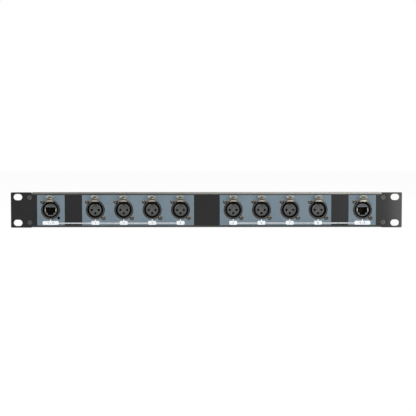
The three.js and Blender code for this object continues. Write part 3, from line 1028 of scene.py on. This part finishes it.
# A staple of tinned spring sheet lies in the pocket across each port. Its two arms grip the plug's
# shield, so their tips are rolled outwards and shine at both sides of the port.
arm_thickness, back_thickness, tip_roll = 1.3, 0.8, 0.55
inner = spring_half - arm_thickness
tip = insert_front + tip_roll
plan = [(-spring_half, port_rear), (-spring_half, tip)]
plan += arc(-spring_half + tip_roll, tip, tip_roll, 180, 270, 6)
plan += arc(-inner - tip_roll, tip, tip_roll, 270, 360, 6)
plan += [(-inner, port_rear - back_thickness)]
spring = swept("shield_spring", both_halves(plan), spring_low, spring_high, "z")
ease_edges(spring, 0.25, 3)


@finish
def tinned_sheet(surface):
    brushed = surface.grain(0.5, 3, (1, 1, 0.2))
    return {
        "Base Color": brushed.spread(0.3, 0.7).blend((150, 149, 140), (174, 173, 164)),
        "Metallic": 1.0,
        "Roughness": 0.28 + 0.15 * brushed,
        "Relief": (brushed, 0.006),
    }


set_out(spring, input_places, "{}_spring", tinned_sheet, "{}_shield")

# The push latch is a nickel plated casting. A curved lever lies in the slot of the ring and rocks on
# two side pins, with a hook inside the socket. In front a crescent foot follows the ring's rim, and
# a neck rises from it to an oval thumb plate with a rolled rim and a dished, plain face. Light and
# shade on the plate, the neck and the lever are partly painted into the nickel's colour.
lever_low, lever_high = 9.7, 11.3
lever_half = latch_width / 2
bridge_low, bridge_half, lever_step = 10.4, 4.2, 2.0
hook_length, hook_drop, hook_flat, hook_half = 3.5, 1.2, 0.8, 2.2
thumb_centre, thumb_half_width, thumb_half_height = 15.65, 5.15, 2.4
thumb_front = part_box("output_1_latch")[0].y / MM
thumb_rear = thumb_front + 1.5
thumb_rim, thumb_dish, thumb_crown, thumb_ease = 0.65, 0.95, 0.2, 0.3
foot_top, foot_half, foot_radius = 10.75, 4.9, 15.0
neck_half, neck_front, neck_lean, neck_thickness = 2.8, 0.6, 0.9, 1.6
flare_end = 0.45


def lever(low, high, half, front):
    """A part of a tube's wall, as wide as the slot lets it be."""
    spread_low = math.degrees(math.asin(half / low))
    spread_high = math.degrees(math.asin(half / high))
    outline = arc(0, 0, high, 90 - spread_high, 90 + spread_high, 16)
    outline += arc(0, 0, low, 90 + spread_low, 90 - spread_low, 16)
    return swept("lever", outline, front, latch_rear)


def latch_neck():
    """From a wide foot, curved like the ring's rim, up into the thumb plate and narrower on the way."""
    rings = []
    steps, across = 16, 14
    foot_centre = foot_top - foot_radius
    for i in range(steps + 1):
        t = i / steps
        flare = 1 - min(1, t / flare_end) ** 2
        half = neck_half + (foot_half - neck_half) * flare
        front = thumb_front + neck_front + neck_lean * t
        rear = thumb_rear + neck_thickness * (1 - t) + gap * t
        ring = []
        for y, way in ((front, 1), (rear, -1)):
            for k in range(across + 1):
                x = way * half * (2 * k / across - 1)
                foot = foot_centre + math.sqrt(foot_radius**2 - x**2)
                ring.append((x, y, foot + (thumb_centre - foot) * t))
        rings.append(ring)
    return skin("push_latch", rings)


def thumb_plate():
    """A round dished plate with a rolled rim, stretched to an oval."""
    half = thumb_half_height
    bowl = half - thumb_rim
    floor = thumb_front + thumb_dish
    lift = thumb_dish - thumb_crown
    profile = [(0, floor)]
    profile += [(bowl * i / 10, floor - lift * (i / 10) ** 4) for i in range(1, 11)]
    crest, roll = (half + bowl) / 2, (half - bowl) / 2
    profile += [(crest + a, thumb_front + roll - b) for a, b in arc(0, 0, roll, 150, 0, 10)]
    profile += [(half, thumb_rear - thumb_ease), (half - thumb_ease, thumb_rear), (0, thumb_rear)]
    plate = turned("thumb_plate", profile, 96)
    stretch = Matrix.Diagonal((thumb_half_width / half, 1, 1, 1))
    plate.data.transform(Matrix.Translation((0, 0, thumb_centre * MM)) @ stretch)
    return plate


hook = [
    (latch_rear - hook_length, lever_low + gap),
    (latch_rear - hook_flat, lever_low - hook_drop),
    (latch_rear, lever_low - hook_drop),
    (latch_rear, lever_low + gap),
]
pin = circle(pivot_y, pivot_z, pivot_radius, 24)
pin_end = lever_half + pivot_reach
latch = latch_neck()
machine(latch, [
    lever(bridge_low, lever_high, bridge_half, thumb_rear),
    lever(lever_low, lever_high - 0.2, lever_half - 0.1, ring_front + lever_step),
    swept("hook", hook, -hook_half, hook_half, "x"),
    swept("pin_left", pin, -pin_end, -lever_half + 1, "x"),
    swept("pin_right", pin, lever_half - 1, pin_end, "x"),
    thumb_plate(),
], "UNION")
ease_edges(latch, 0.1, 2, 40)


@finish
def handled_nickel(surface):
    """Nickel, darker towards its sides and in brown patches on the plate, with painted light: a bright top,
    upper edges and reflected band on the plate, shade in its hollow, a shadow round it and in the ring's
    slot.
    """
    brushed = surface.grain(0.6, 4, (0.25, 1, 1))
    warm = surface.patches(2.5, 4, 0.35).blend((160, 153, 139), (142, 135, 121))
    warm = surface.rise("X", 1.5, 4.5, mirrored=True).blend(warm, (108, 103, 93))
    # Painted highlight: the thumb plate is painted paler towards its top, for the light from above.
    up = surface.rise("Z", thumb_centre - 1, thumb_centre + 1.6)
    plate = up.blend((114, 112, 106), (196, 195, 188))
    reach = surface.reach(0, thumb_centre, thumb_half_width, thumb_half_height)
    off_plate = reach.spread(0.98, 1.02)
    # Painted reflection: a pale band low in the dish, where it faces up to the light.
    band = 1 - surface.reach(0.5, thumb_centre - 1.1, 3.2, 0.9).spread(0.4, 1)
    wear_and_painted_light = band.blend(off_plate.blend(plate, warm), (142, 139, 131))
    # Painted shade: a dark spot in the dish's hollow.
    hollow = 1 - surface.reach(-0.3, thumb_centre + 0.1, 3.2, 1.0).spread(0.35, 1)
    # Painted shadow: a dark edge just outside the thumb plate, where the plate shades the neck.
    corner = off_plate * (1 - reach.spread(1.2, 1.4))
    wear_and_painted_light = surface.maths("MAXIMUM", hollow, corner).blend(wear_and_painted_light, (48, 45, 40))
    # Painted shade: all that lies nearer the ring's axis than the foot's edge is painted nearly black, for
    # the shade in the ring's slot.
    under_foot = 1 - surface.reach(0, foot_top - foot_radius, foot_radius, foot_radius).spread(0.975, 1)
    wear_and_painted_light = under_foot.blend(wear_and_painted_light, (14, 13, 12))
    # Painted highlight: the upper edges, away from the ring's slot, are painted pale.
    painted_highlight = surface.edges(0.5) * (1 - under_foot) * up
    # Brown patches on the plate and the top of the neck, partly dirt and partly a painted shadow under the
    # plate.
    dirt_and_painted_light = surface.rise("Z", 12.8, 13.4) * surface.patches(1, 3, 0.25, 0.6) * 0.55
    return {
        "Base Color": dirt_and_painted_light.blend(painted_highlight.blend(wear_and_painted_light, (208, 205, 197)), (92, 86, 74)),
        "Metallic": 1.0,
        "Roughness": 0.26 + 0.18 * brushed,
        "Relief": (brushed, 0.006),
    }


set_out(
    latch, receptacle_places, "{}_push_latch", handled_nickel, "{}_latch", "{}_latch_body")

# Two pan head screws at opposite corners hold each receptacle. They are nickel plated steel with a
# cross recess, gone dull and brownish. One of the left input's screws is missing, as in real use.
pan_radius, pan_height, pan_shank, pan_length = 2.5, 1.7, 1.45, 8.0
pan_front, pan_dome = panel_front - pan_height, 0.9 * pan_height
screw_places = {}
for name in receptacles:
    for corner, (x, z) in screw_corners.items():
        if f"{name}_screw_{corner}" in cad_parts:
            screw_places[f"{name} {corner}"] = (centres[name] + x, z)

turns = [math.radians(turn) for turn in range(15, 91, 15)]
profile = [(0, pan_front)]
profile += [(pan_radius * math.sin(turn), pan_front + pan_dome * (1 - math.cos(turn))) for turn in turns]
profile += [(pan_radius, panel_front), (pan_shank, panel_front), (pan_shank, pan_length), (0, pan_length)]
pan_screw = turned("pan_screw", profile, 40)
machine(pan_screw, [cross_recess(pan_front)])
ease_edges(pan_screw, 0.06, 2, 40)


@finish
def dull_nickel(surface):
    """Painted light: a highlight in the recess and on the rim's upper part, and shade, nearly black, round
    the rest of the rim.
    """
    stain = surface.patches(1.1, 4)
    wear_and_painted_light = stain.blend((92, 87, 77), (68, 64, 57))
    # Painted light: the rim is painted bright on its upper part and nearly black round the rest, for how
    # light falls on the dome.
    rim = surface.rise("Z", 0.9, 1.7).blend((48, 46, 42), (150, 142, 126))
    wear_and_painted_light = surface.reach(0, 0, pan_radius, pan_radius).spread(0.62, 0.8).blend(wear_and_painted_light, rim)
    # Painted highlight: a bright spot just below the recess's middle.
    glint = surface.reach(0, -0.7, pan_radius, pan_radius).spread(0.1, 0.36)
    return {
        "Base Color": glint.blend((152, 149, 139), wear_and_painted_light),
        "Metallic": 1.0,
        "Roughness": 0.34 + 0.2 * stain,
        "Relief": (surface.grain(0.3), 0.01),
    }


set_out(pan_screw, screw_places, "{}_pan_screw_{}", dull_nickel, "{}_screw_{}")

# The splitter stands on a white table in a white room, and both light it less than they look. A soft
# lamp from the upper left draws the latches' shadows, one on the right gives the paint its sheen, and
# a strip above lights the top fold.
room = 0.46
white = (1, 1, 1, 1)
table_half, table_thickness = 4000, 5
table_tone, table_glow = 0.95, 0.95


def seen(surface):
    """1 for what is seen straight, in a reflection or through a clear piece, and 0 for the rest."""
    straight, mirrored, through = (
        surface.node("LightPath", output=f"Is {kind} Ray") for kind in ("Camera", "Glossy", "Transmission"))
    return straight + mirrored + through


top = rectangle(-table_half, table_half, -table_half, table_half)
table = swept("table", top, panel_low.z - table_thickness, panel_low.z, "z")
white_table = bpy.data.materials.new("white_table")
surface = cleared(white_table)
light = surface.node("Emission", inputs={"Color": white, "Strength": 1.0})
paint = {"Base Color": (table_tone, table_tone, table_tone, 1), "Roughness": 0.9}
plain = surface.node("BsdfPrincipled", inputs=paint)
mixed = surface.node("MixShader", inputs={0: table_glow * seen(surface), 1: plain, 2: light})
surface.node("OutputMaterial", inputs={"Surface": mixed})
table.data.materials.append(white_table)

world = bpy.data.worlds.new("white_room")
bpy.context.scene.world = world
sky = cleared(world)
dim = sky.node("Background", inputs={"Color": (room, room, room, 1), "Strength": 1.0})
bright = sky.node("Background", inputs={"Color": white, "Strength": 1.0})
mixed = sky.node("MixShader", inputs={0: seen(sky), 1: dim, 2: bright})
sky.node("OutputWorld", inputs={"Surface": mixed})


def soft_lamp(name, place, width, height, power, aim=(0, 0, 0)):
    lamp = bpy.data.lights.new(name, "AREA")
    lamp.shape = "ELLIPSE"
    lamp.size = width
    lamp.size_y = height
    lamp.energy = power
    holder = new_piece(name, lamp)
    holder.location = place
    holder.rotation_euler = (Vector(aim) - Vector(place)).to_track_quat("-Z", "Y").to_euler()


soft_lamp("left_lamp", (-0.8, -1.1, 1.2), 0.5, 0.5, 14)
soft_lamp("right_lamp", (0.7, -1.2, 0.12), 0.6, 0.6, 6, (0.15, 0, 0))
soft_lamp("top_lamp", (0.45, 0.25, 0.9), 1.2, 0.3, 5, (0.1, 0, 0))

# The camera looks at the panel from 1.3 m, three degrees above it and a little from its left.
view_distance, view_rise, view_side = 1300.0, 3.0, -16.0
frame_width, sensor_width = 513.4, 36.0
aim = Vector((1.4, panel_front, 2.35))
rise = view_distance * math.tan(math.radians(view_rise))
eye = Vector((view_side, panel_front - view_distance, aim.z + rise))
camera = bpy.data.cameras.new("camera")
camera.sensor_width = sensor_width
camera.lens = sensor_width * (aim - eye).length / frame_width
camera.clip_end = 100
tripod = new_piece("camera", camera)
tripod.location = eye * MM
tripod.rotation_euler = (aim - eye).to_track_quat("-Z", "Y").to_euler()
bpy.context.scene.camera = tripod
bpy.context.scene.view_settings.view_transform = "Standard"
